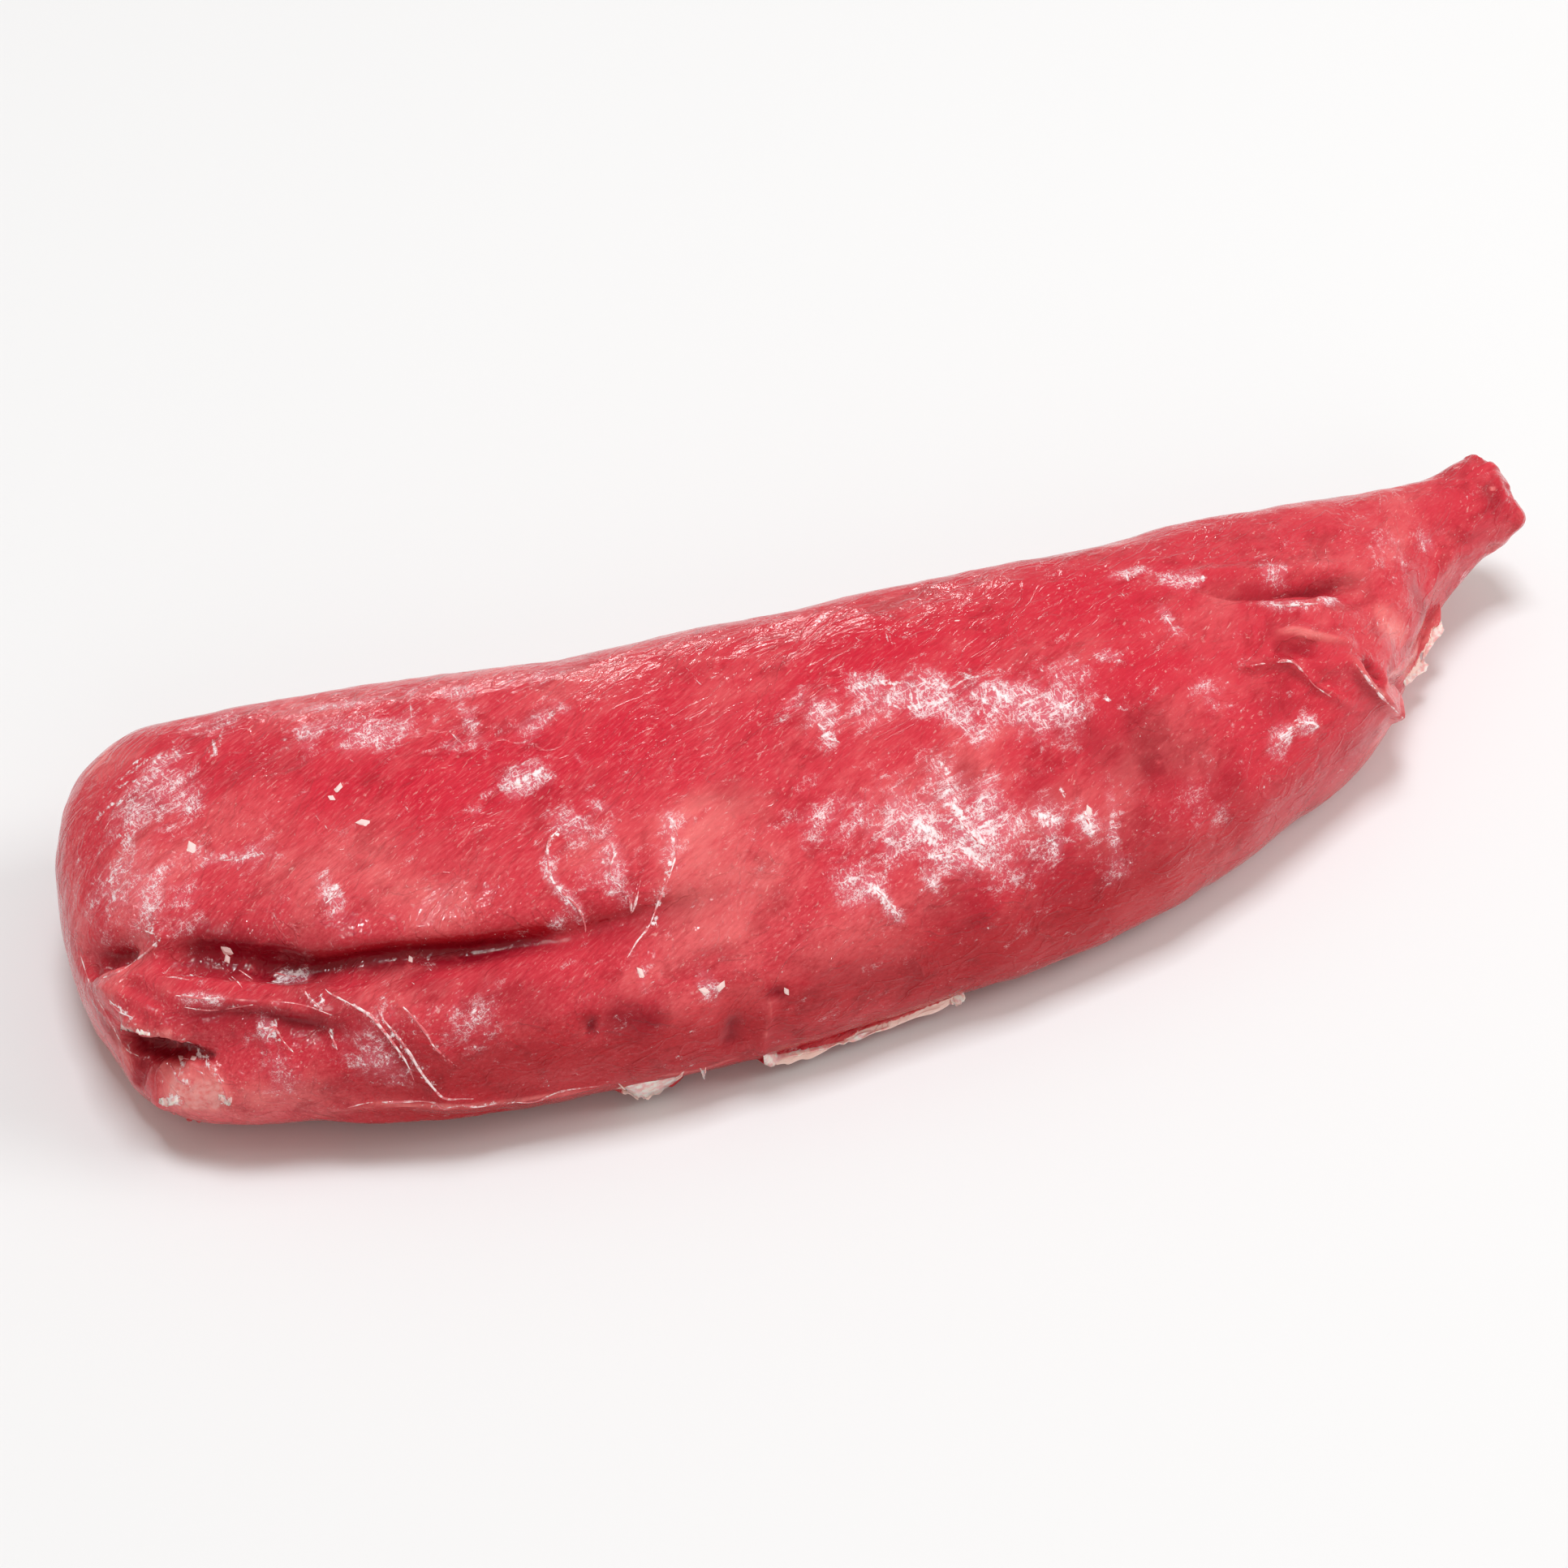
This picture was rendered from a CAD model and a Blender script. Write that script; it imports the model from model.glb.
"""Looks of a trimmed tuna loin, frozen with a thin ice glaze and pressed in tight clear film."""

import math

import bpy
import numpy as np
from mathutils import Matrix, Vector, noise
from mathutils.bvhtree import BVHTree


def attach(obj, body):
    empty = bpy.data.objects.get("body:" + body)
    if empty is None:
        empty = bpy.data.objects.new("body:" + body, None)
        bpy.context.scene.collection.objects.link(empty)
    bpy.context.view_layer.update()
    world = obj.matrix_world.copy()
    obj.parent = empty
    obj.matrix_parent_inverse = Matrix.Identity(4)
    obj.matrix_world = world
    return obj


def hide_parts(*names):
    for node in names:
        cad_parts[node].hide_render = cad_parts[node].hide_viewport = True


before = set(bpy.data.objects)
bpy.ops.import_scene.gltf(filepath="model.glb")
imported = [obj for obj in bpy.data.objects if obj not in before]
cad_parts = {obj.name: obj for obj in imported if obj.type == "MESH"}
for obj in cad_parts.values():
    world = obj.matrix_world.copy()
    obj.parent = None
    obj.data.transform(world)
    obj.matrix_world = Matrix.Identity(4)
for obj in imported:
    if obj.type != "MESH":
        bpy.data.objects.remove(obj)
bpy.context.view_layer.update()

MM = 0.001

# Camera: a short telephoto lens, well above the loin's near side and a little to its left. Marks on the
# flesh are named below by their place in the photograph, which is this many pixels wide and high, and
# each is dropped along the camera's own line of sight onto the loin.
PHOTO = 1932
AZIMUTH, ELEVATION, DISTANCE = math.radians(-20.5), math.radians(42.0), 1.18
AIM = Vector((-0.0319, 0.0077, 0.035))
LENS, SENSOR = 80.0, 36.0
toward_camera = Vector(
    (
        math.sin(AZIMUTH) * math.cos(ELEVATION),
        -math.cos(AZIMUTH) * math.cos(ELEVATION),
        math.sin(ELEVATION),
    )
)
lens = bpy.data.cameras.new("camera")
lens.lens = LENS
lens.sensor_width = SENSOR
camera = bpy.data.objects.new("camera", lens)
camera.location = AIM + toward_camera * DISTANCE
camera.rotation_euler = (-toward_camera).to_track_quat("-Z", "Y").to_euler()
bpy.context.scene.collection.objects.link(camera)
bpy.context.scene.camera = camera


def sight_line(pixel):
    """Direction from the camera through a pixel of the photograph."""
    right = Vector((math.cos(AZIMUTH), math.sin(AZIMUTH), 0))
    up = toward_camera.cross(right)
    reach = PHOTO * LENS / SENSOR
    x = (pixel[0] - PHOTO / 2) / reach
    y = (PHOTO / 2 - pixel[1]) / reach
    return (right * x + up * y - toward_camera).normalized()


# Flesh of the loin: one trimmed length of deep red muscle, pressed by its film while it froze, so that
# it carries a long belly groove, folded corners and fine creases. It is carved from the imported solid,
# with its flat underside taken off while the rest is smoothed, and closed again afterwards.
WELD = 0.01 * MM  # corners closer than this are one
RESTING = 0.05 * MM  # faces lower than this are the flat underside
SMOOTHINGS = 2


def only(thing):
    """Make one object the selected and active one."""
    bpy.ops.object.select_all(action="DESELECT")
    thing.select_set(True)
    bpy.context.view_layer.objects.active = thing


def places_of(mesh):
    places = np.empty(len(mesh.vertices) * 3, np.float32)
    mesh.vertices.foreach_get("co", places)
    return places.reshape(-1, 3).astype(float)


def facings_of(mesh):
    facings = np.empty(len(mesh.vertices) * 3, np.float32)
    mesh.vertex_normals.foreach_get("vector", facings)
    return facings.reshape(-1, 3).astype(float)


def soft_step(value):
    value = np.clip(value, 0.0, 1.0)
    return value * value * (3.0 - 2.0 * value)


SEARCH = np.linspace(DISTANCE - 0.35, DISTANCE + 0.35, 200)  # along a line of sight that just misses
FAR = 1.0  # metres, farther than any two points of the loin
END_SHARE = 0.25  # how strong a band still is at its very ends


def on_loin(pixel):
    """Point of the flesh, in metres, that a pixel of the photograph shows, and which way it faces."""
    ray = sight_line(pixel)
    place, facing, _, _ = skin.ray_cast(camera.location, ray)
    if place is None:
        found = [skin.find_nearest(camera.location + ray * step) for step in SEARCH]
        place, facing, _, _ = min(found, key=lambda hit: hit[3])
    return place, facing


def near_line(places, pixels):
    """Distance in mm of each place from a line drawn on the flesh, and how far along it that is."""
    line = np.array([on_loin(pixel)[0] for pixel in pixels], float)
    spans = np.linalg.norm(np.diff(line, axis=0), axis=1)
    ends = np.concatenate([[0.0], np.cumsum(spans)]) / spans.sum()
    nearest = np.full(len(places), FAR)
    along = np.zeros(len(places))
    for k, span in enumerate(spans):
        run = (line[k + 1] - line[k]) / span
        part = np.clip((places - line[k]) @ run, 0, span)
        gap = np.linalg.norm(places - (line[k] + part[:, None] * run), axis=1)
        along = np.where(gap < nearest, ends[k] + part / span * (ends[k + 1] - ends[k]), along)
        nearest = np.minimum(gap, nearest)
    return nearest / MM, along


def band(places, pixels, spread, taper=0.25):
    """1 on a line drawn on the flesh, fading over its spread in mm and toward its ends."""
    gap, along = near_line(places, pixels)
    fading = soft_step(END_SHARE + np.minimum(along, 1 - along) / taper)
    return np.exp(-((gap / spread) ** 2)) * fading


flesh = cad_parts["loin"].copy()
flesh.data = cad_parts["loin"].data.copy()
flesh.name = "flesh"
flesh.parent = None
bpy.context.scene.collection.objects.link(flesh)
only(flesh)
bpy.ops.object.mode_set(mode="EDIT")
bpy.ops.mesh.select_all(action="SELECT")
bpy.ops.mesh.remove_doubles(threshold=WELD)
bpy.ops.mesh.select_all(action="DESELECT")
bpy.ops.object.mode_set(mode="OBJECT")
heights = places_of(flesh.data)[:, 2]
for face in flesh.data.polygons:
    face.select = bool(max(heights[v] for v in face.vertices) < RESTING)
bpy.ops.object.mode_set(mode="EDIT")
bpy.ops.mesh.delete(type="FACE")
bpy.ops.mesh.select_all(action="SELECT")
bpy.ops.mesh.tris_convert_to_quads(face_threshold=math.pi, shape_threshold=math.pi)
bpy.ops.object.mode_set(mode="OBJECT")
smoothing = flesh.modifiers.new("smooth", "SUBSURF")
smoothing.levels = smoothing.render_levels = SMOOTHINGS
bpy.ops.object.modifier_apply(modifier=smoothing.name)
flesh.data.shade_smooth()

# Ridges, creases and hollows pressed into the flesh: the line of each in the photograph, how far it
# spreads to either side and how high it stands (minus is into the flesh), in mm.
RELIEF = {
    "shoulder ridge": (((177, 1146), (197, 1154), (189, 1164), (173, 1180), (147, 1198),
                        (112, 1209)), 2.2, 2.0),
    "shoulder dent": (((125, 1197), (157, 1180), (155, 1168)), 5.0, -2.5),
    "shoulder crease": (((124, 1202), (111, 1192)), 1.8, -1.6),
    "groove hollow": (((215, 1168), (262, 1174), (320, 1184), (380, 1190)), 6.0, -2.2),
    "groove slit": (((300, 1196), (385, 1194), (440, 1184), (500, 1177), (580, 1172), (640, 1162),
                     (710, 1154)), 3.2, -3.4),
    "groove fold": (((205, 1160), (250, 1156), (330, 1164), (400, 1172)), 3.0, 1.2),
    "valley": (((190, 1188), (240, 1192), (300, 1198)), 3.4, -2.4),
    "groove lip": (((400, 1166), (500, 1160), (580, 1154), (660, 1142)), 5.0, 0.6),
    "groove end": (((700, 1156), (760, 1138), (830, 1118), (900, 1100)), 3.2, -1.2),
    "tongue crest": (((162, 1213), (211, 1227), (262, 1232), (330, 1232)), 2.6, 1.2),
    "tongue shadow": (((199, 1262), (244, 1250), (277, 1246), (320, 1249), (350, 1258), (385, 1268),
                       (425, 1280)), 3.8, -3.2),
    "tongue brow": (((215, 1247), (262, 1239), (330, 1240), (380, 1252)), 2.6, 1.4),
    "tongue furrow": (((282, 1222), (340, 1222), (400, 1238)), 2.6, -1.2),
    "tongue rib": (((118, 1212), (140, 1222), (176, 1238), (200, 1246)), 2.2, 1.4),
    "tongue hollow": (((150, 1210), (185, 1222), (205, 1236)), 2.6, -1.6),
    "pocket": (((152, 1276), (181, 1284), (212, 1289), (238, 1294)), 4.2, -4.6),
    "pocket slit": (((230, 1292), (250, 1298), (266, 1305)), 2.0, -2.4),
    "pocket side": (((178, 1300), (172, 1325), (169, 1340)), 2.4, -2.4),
    "flap edge": (((150, 1256), (166, 1259), (178, 1268), (207, 1270), (236, 1282)), 2.2, 3.0),
    "lobe film": (((237, 1290), (256, 1304), (262, 1317), (277, 1345), (283, 1356)), 1.1, 1.0),
    "lobe ridge": (((212, 1308), (220, 1325), (231, 1336), (239, 1347)), 1.3, 1.0),
    "lobe brow": (((196, 1312), (222, 1304), (250, 1312)), 3.0, 1.6),
    "lobe corner": (((186, 1352), (200, 1362)), 4.0, 1.6),
    "lobe crease": (((197, 1317), (212, 1301)), 1.4, 0.9),
    "end wall": (((107, 1209), (132, 1251), (153, 1290), (176, 1303)), 2.0, 1.2),
    "knot peak": (((316, 1271), (338, 1264), (327, 1280), (338, 1295)), 1.6, 1.4),
    "knot arm": (((338, 1264), (348, 1282), (359, 1294)), 1.4, 0.9),
    "first crease": (((397, 1208), (407, 1222), (424, 1232), (445, 1244), (465, 1259), (477, 1276),
                      (489, 1290), (501, 1310), (508, 1324), (510, 1336)), 1.5, 1.1),
    "second crease": (((470, 1236), (470, 1249), (482, 1266), (494, 1283), (506, 1305), (525, 1334),
                       (538, 1346), (550, 1354), (588, 1354), (593, 1347)), 1.4, 1.0),
    "between creases": (((476, 1262), (496, 1295), (514, 1330)), 3.4, -1.4),
    "third crease": (((479, 1220), (501, 1244), (522, 1267), (535, 1290), (558, 1310),
                      (569, 1317)), 1.4, 0.8),
    "short crease": (((405, 1264), (412, 1281), (416, 1295)), 1.3, 0.9),
    "hook crease": (((370, 1212), (377, 1225), (395, 1245), (394, 1215)), 1.3, 0.9),
    "low edge": (((390, 1368), (443, 1360), (496, 1357), (547, 1362), (622, 1356), (683, 1349),
                  (760, 1332)), 1.8, 1.2),
    "under edge": (((400, 1378), (496, 1374), (560, 1376), (640, 1366)), 3.0, -1.5),
    "front rib": (((952, 1226), (946, 1251), (939, 1276), (937, 1287), (942, 1300)), 1.6, 1.6),
    "front slot": (((905, 1250), (900, 1290)), 3.0, -1.6),
    "front pit": (((722, 1264), (736, 1265)), 2.4, -1.4),
    "rib pit": (((958, 1223), (968, 1222)), 1.8, -1.4),
    "left loop": (((718, 998), (695, 1017), (677, 1035), (675, 1061), (679, 1083), (695, 1102), (710, 1117),
                   (718, 1131), (721, 1150), (706, 1144)), 1.3, 0.6),
    "middle loop": (((751, 1006), (753, 1031), (753, 1061), (762, 1094), (777, 1102), (782, 1124),
                     (790, 1109), (788, 1072), (777, 1050), (756, 1017)), 1.3, 0.6),
    "right loop": (((812, 989), (828, 1009), (830, 1035), (823, 1076), (806, 1135), (777, 1179)), 1.5, 0.7),
    "middle dent": (((1148, 925), (1172, 955), (1182, 1000)), 2.4, -0.7),
    "middle ridge": (((1134, 1062), (1165, 1052), (1200, 1070), (1220, 1078)), 2.2, 0.9),
    "middle ridge two": (((1172, 1005), (1190, 1025), (1222, 1050)), 2.2, 0.9),
    "lower ridge": (((1052, 1085), (1076, 1098), (1114, 1136)), 1.8, 0.9),
    "right glint": (((1334, 998), (1341, 1012), (1348, 1030)), 1.8, 0.9),
    "side crease": (((1269, 1010), (1300, 1030), (1320, 1050)), 2.0, 0.7),
    "tail ridge": (((1445, 714), (1490, 706), (1540, 704), (1600, 704), (1660, 698)), 2.6, 1.6),
    "tail groove": (((1472, 722), (1513, 731), (1563, 733), (1604, 730), (1645, 722),
                     (1689, 716)), 2.8, -3.4),
    "tail lip": (((1530, 747), (1580, 749), (1619, 745), (1645, 738)), 2.4, 1.7),
    "tail soft ridge": (((1555, 783), (1591, 778), (1634, 786), (1674, 796)), 3.0, 2.0),
    "tail under fold": (((1565, 800), (1600, 800), (1625, 808)), 3.4, -2.0),
    "tail crease": (((1507, 813), (1540, 823), (1566, 817), (1587, 817), (1604, 830), (1622, 848),
                     (1651, 863), (1669, 870)), 1.8, 2.0),
    "tail bowl": (((1600, 855), (1560, 840), (1520, 850)), 5.0, -1.0),
    "tail fold": (((1662, 809), (1675, 826), (1690, 845), (1706, 862), (1722, 884)), 2.0, 3.4),
    "tail fold shade": (((1680, 812), (1694, 828), (1706, 846)), 3.0, -3.4),
    "tail knot": (((1569, 924), (1581, 904), (1604, 892), (1628, 896)), 2.0, 1.3),
    "tail notch": (((1730, 848), (1722, 836), (1712, 838)), 3.2, -3.4),
    "tail corner": (((1722, 868), (1731, 884)), 4.0, 1.8),
    "tail rim": (((1704, 848), (1720, 828), (1742, 808), (1760, 788), (1780, 760)), 2.6, 1.2),
    "tip hollow": (((1832, 596), (1846, 618)), 4.0, -2.0),
    "tip flat": (((1856, 596), (1864, 616)), 4.0, -1.6),
    "tip upper corner": (((1832, 572), (1840, 580)), 5.5, 1.5),
    "tip back corner": (((1812, 566), (1818, 564)), 4.0, 1.4),
    "tip point": (((1864, 640), (1874, 640)), 4.4, 3.2),
    "tip under": (((1846, 672), (1838, 682)), 5.0, -1.6),
}
LUMPS = ((28.0, 1.1), (11.0, 0.42), (4.0, 0.13))  # size and height in mm of the unevenness all over
FOOT = 8 * MM  # below this height the relief dies away, so that the loin rests on a clean edge
HOLLOW_ROUNDS, HOLLOW_PULL = 60, 0.6  # how widely the flesh is averaged to find its hollows and crests


def bent(places, size, height):
    """Unevenness of one size over the flesh, in mm."""
    return np.array([noise.noise(Vector(place) / (size * MM)) for place in places]) * height


skin = BVHTree.FromObject(flesh, bpy.context.evaluated_depsgraph_get())
places, facings = places_of(flesh.data), facings_of(flesh.data)
rise = sum(bent(places, size, height) for size, height in LUMPS)
for pixels, spread, height in RELIEF.values():
    rise += height * band(places, pixels, spread)
rise *= soft_step(places[:, 2] / FOOT)
places += rise[:, None] * MM * facings
places[:, 2] = np.maximum(places[:, 2], 0.0)
flesh.data.vertices.foreach_set("co", places.astype(np.float32).ravel())
flesh.data.update()
skin = BVHTree.FromObject(flesh, bpy.context.evaluated_depsgraph_get())
places, facings = places_of(flesh.data), facings_of(flesh.data)

edges = np.array([edge.vertices for edge in flesh.data.edges])
ends = np.concatenate([edges, edges[:, ::-1]])
count = np.bincount(ends[:, 0], minlength=len(places))[:, None]


def settled(values, rounds, pull):
    """Values spread over the flesh by averaging each point with its neighbours."""
    for _ in range(rounds):
        columns = [np.bincount(ends[:, 0], column[ends[:, 1]], len(values)) for column in values.T]
        values = values * (1 - pull) + pull * np.stack(columns, 1) / count
    return values


hollow = ((settled(places, HOLLOW_ROUNDS, HOLLOW_PULL) - places) * facings).sum(axis=1) / MM


def mark(name, values):
    """Store a value between 0 and 1 for each point of the flesh, for its material to read."""
    stored = flesh.data.attributes.new(name, "FLOAT", "POINT")
    stored.data.foreach_set("value", np.clip(values, 0, 1).astype(np.float32))


# Where the ice over the flesh is frosted or scratched and shows white, where the flesh is bruised or
# dark, and where it is pale: the line of each in the photograph, how far it spreads to either side, in
# mm, and how strong it is.
FROST = {
    "back edge thread": (((361, 878), (401, 871), (432, 866), (472, 861)), 2.6, 0.75),
    "left cluster": (((362, 910), (380, 906), (398, 908)), 7.0, 0.95),
    "left cluster tail": (((410, 924), (432, 916), (452, 912)), 4.0, 0.6),
    "second cluster": (((436, 903), (462, 905), (490, 903), (508, 910)), 6.5, 0.9),
    "second cluster top": (((400, 890), (430, 893), (460, 892)), 3.0, 0.6),
    "back thread": (((496, 856), (510, 851), (521, 848)), 2.4, 0.7),
    "back thread two": (((539, 848), (565, 853), (588, 860)), 3.0, 0.8),
    "back dot": (((532, 887), (542, 887)), 2.6, 0.75),
    "back cluster": (((566, 887), (578, 884), (588, 881)), 4.5, 1.0),
    "back speckle": (((619, 840), (637, 840)), 4.5, 0.6),
    "back speckle two": (((653, 835), (675, 832), (696, 830)), 5.0, 0.55),
    "third cluster": (((645, 882), (660, 893), (675, 898)), 5.5, 0.95),
    "third cluster top": (((684, 876), (702, 867)), 4.5, 0.65),
    "low thread": (((539, 919), (570, 916), (604, 911)), 2.6, 0.7),
    "glint": (((614, 976), (632, 968), (650, 957), (668, 949), (678, 943)), 4.0, 1.5),
    "glint side": (((599, 978), (602, 980)), 2.0, 0.9),
    "glint top": (((708, 935), (718, 932)), 2.4, 0.9),
    "speck": (((586, 998), (592, 1000)), 3.2, 0.7),
    "haze": (((382, 1098), (400, 1090), (416, 1082)), 7.5, 0.45),
    "haze streak": (((401, 1113), (410, 1105), (418, 1094)), 2.2, 1.0),
    "shoulder top": (((214, 905), (262, 890), (300, 885)), 8.0, 0.45),
    "shoulder speckle": (((198, 940), (222, 965), (240, 1000)), 6.0, 0.6),
    "shoulder arc": (((150, 985), (180, 960), (205, 935), (235, 928)), 2.6, 0.9),
    "shoulder arc two": (((160, 1012), (185, 985), (215, 968)), 2.4, 0.7),
    "shoulder ring": (((228, 1045), (250, 1056), (270, 1060), (300, 1054), (330, 1045)), 3.0, 0.65),
    "shoulder patch": (((150, 985), (182, 1020)), 8.0, 0.6),
    "shoulder patch low": (((128, 1060), (165, 1085), (215, 1100)), 13.0, 0.55),
    "shoulder dot": (((228, 985), (234, 1005)), 3.0, 0.7),
    "left speckle": (((300, 1060), (320, 1052), (340, 1037)), 5.0, 0.5),
    "left speckle low": (((150, 1120), (260, 1110)), 8.0, 0.4),
    "loop cluster": (((684, 1030), (700, 1016), (722, 1002)), 5.5, 0.95),
    "loop cluster top": (((734, 1000), (742, 986)), 3.5, 0.75),
    "loop line": (((676, 1040), (675, 1068), (686, 1092), (700, 1106), (713, 1120), (720, 1148)), 1.6, 1.0),
    "loop middle": (((751, 1004), (755, 1050), (762, 1096), (778, 1120)), 2.4, 0.8),
    "loop middle haze": (((722, 1052), (738, 1072), (754, 1092)), 6.0, 0.5),
    "loop foot": (((676, 1134), (696, 1138)), 3.0, 0.75),
    "loop right": (((800, 996), (824, 1006), (830, 1040), (822, 1080)), 3.0, 0.65),
    "upper band": (((1040, 866), (1130, 858), (1220, 862), (1330, 858)), 8.0, 0.42),
    "low band": (((1010, 1010), (1100, 1010), (1200, 1018), (1310, 1020)), 11.0, 0.34),
    "middle veil": (((966, 862), (988, 868)), 6.0, 0.5),
    "middle bar": (((1012, 854), (1010, 884), (1020, 904)), 4.0, 0.85),
    "middle bar foot": (((1010, 912), (1034, 914)), 3.0, 0.75),
    "veil": (((1040, 876), (1060, 878), (1084, 874)), 6.0, 0.55),
    "upper streaks": (((1043, 848), (1066, 842), (1089, 850)), 4.5, 0.9),
    "upper streak edge": (((1086, 876), (1094, 860), (1104, 876)), 3.5, 0.7),
    "upper haze": (((1100, 850), (1130, 846), (1165, 840)), 8.0, 0.5),
    "upper edge": (((1120, 866), (1146, 870), (1172, 872)), 3.5, 1.05),
    "upper line": (((1150, 824), (1158, 845), (1168, 868)), 2.0, 0.9),
    "upper foot": (((1168, 886), (1186, 884), (1202, 882)), 3.6, 0.95),
    "right block": (((1212, 836), (1222, 848), (1236, 864)), 4.0, 1.0),
    "right block two": (((1228, 852), (1250, 860), (1276, 868)), 5.0, 1.0),
    "right hatch": (((1240, 880), (1280, 886), (1330, 870)), 7.0, 0.72),
    "right hatch bright": (((1294, 868), (1312, 870), (1328, 866)), 4.5, 0.95),
    "right haze": (((1282, 836), (1316, 828), (1346, 818)), 6.0, 0.55),
    "right thread": (((1350, 812), (1366, 806), (1382, 808)), 2.0, 0.8),
    "under hatch": (((1184, 912), (1206, 905), (1230, 914)), 4.0, 0.65),
    "pillar": (((1154, 926), (1163, 950), (1170, 975), (1174, 996)), 4.0, 0.8),
    "pillar line": (((1172, 978), (1174, 998)), 1.6, 1.2),
    "curved bar": (((1176, 998), (1186, 1016), (1202, 1034), (1222, 1048)), 3.6, 1.15),
    "curved bar two": (((1204, 996), (1216, 1008), (1236, 1022)), 5.0, 0.95),
    "curved bar end": (((1238, 1016), (1252, 1030)), 4.0, 0.7),
    "thin pair": (((1216, 958), (1219, 995)), 2.4, 0.8),
    "thin pair haze": (((1200, 965), (1228, 985)), 7.0, 0.45),
    "low block": (((1084, 1002), (1112, 1010), (1140, 1026)), 7.0, 0.92),
    "low block bright": (((1126, 1004), (1144, 1030)), 3.6, 1.1),
    "low block side": (((1088, 1038), (1106, 1040)), 4.0, 0.7),
    "low hatch": (((1132, 1062), (1160, 1048), (1190, 1054), (1218, 1072)), 5.0, 0.9),
    "low line": (((1142, 1070), (1147, 1084), (1156, 1100)), 1.6, 0.95),
    "low haze": (((1000, 985), (1020, 1015), (1040, 1045)), 10.0, 0.45),
    "bottom block": (((1022, 1112), (1045, 1100), (1070, 1092), (1084, 1104)), 5.0, 0.8),
    "bottom bright": (((1060, 1090), (1074, 1098), (1086, 1106)), 3.4, 1.1),
    "bottom line": (((1088, 1104), (1100, 1122), (1116, 1138)), 1.7, 1.0),
    "side block": (((1272, 1008), (1290, 1006), (1310, 1020)), 4.5, 0.8),
    "side block low": (((1290, 1040), (1312, 1044)), 4.0, 0.75),
    "side glint": (((1334, 998), (1341, 1012), (1349, 1030)), 2.6, 1.3),
    "side speck": (((1360, 990), (1380, 988)), 4.0, 0.6),
    "side thread": (((1370, 1008), (1372, 1030), (1376, 1052)), 1.6, 0.9),
    "side curl": (((1362, 1064), (1376, 1070), (1390, 1082)), 4.0, 0.6),
    "side strokes": (((1206, 1066), (1260, 1062), (1300, 1066)), 5.0, 0.35),
    "tail start": (((1425, 716), (1450, 714), (1490, 710)), 3.0, 1.0),
    "tail start thread": (((1355, 716), (1400, 703), (1440, 700)), 2.4, 0.75),
    "tail start hook": (((1428, 740), (1440, 765), (1458, 788)), 2.0, 0.8),
    "tail upper speckle": (((1545, 700), (1570, 703), (1592, 708)), 4.0, 0.6),
    "tail beads": (((1542, 742), (1578, 746), (1618, 743)), 1.8, 0.95),
    "tail bead end": (((1624, 741), (1636, 739), (1645, 736)), 2.4, 1.3),
    "tail pink haze": (((1680, 655), (1715, 680), (1740, 690)), 8.0, 0.32),
    "tail pink glint": (((1748, 668), (1768, 668)), 2.6, 0.95),
    "tail crumple": (((1598, 890), (1612, 891), (1626, 897)), 2.6, 1.2),
    "tail crumple low": (((1578, 910), (1584, 902), (1593, 906)), 2.6, 1.05),
    "tail crumple foot": (((1560, 934), (1572, 922), (1590, 932)), 3.4, 0.7),
    "tail edge glint": (((1798, 735), (1802, 716), (1804, 702)), 1.7, 1.0),
    "tail side speckle": (((1470, 830), (1490, 855), (1500, 880)), 6.0, 0.5),
    "tail side speckle low": (((1450, 985), (1480, 990), (1520, 1000)), 8.0, 0.35),
    "roll glint": (((440, 1295), (470, 1318), (505, 1328)), 4.0, 0.75),
    "roll haze": (((330, 1290), (350, 1330), (380, 1340)), 6.0, 0.4),
    "groove glint": (((338, 1202), (360, 1205), (385, 1203)), 1.7, 1.3),
    "tongue glint": (((211, 1227), (244, 1230), (279, 1231)), 1.5, 1.1),
    "knot glint": (((316, 1272), (330, 1268), (340, 1270)), 2.6, 1.2),
    "crease haze": (((430, 1260), (475, 1300)), 6.0, 0.55),
    "flank haze": (((540, 1250), (620, 1270)), 9.0, 0.4),
    "flank chip": (((860, 1222), (885, 1208)), 3.4, 0.9),
    "flank speck": (((785, 1202), (800, 1206)), 3.4, 0.7),
}
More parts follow.
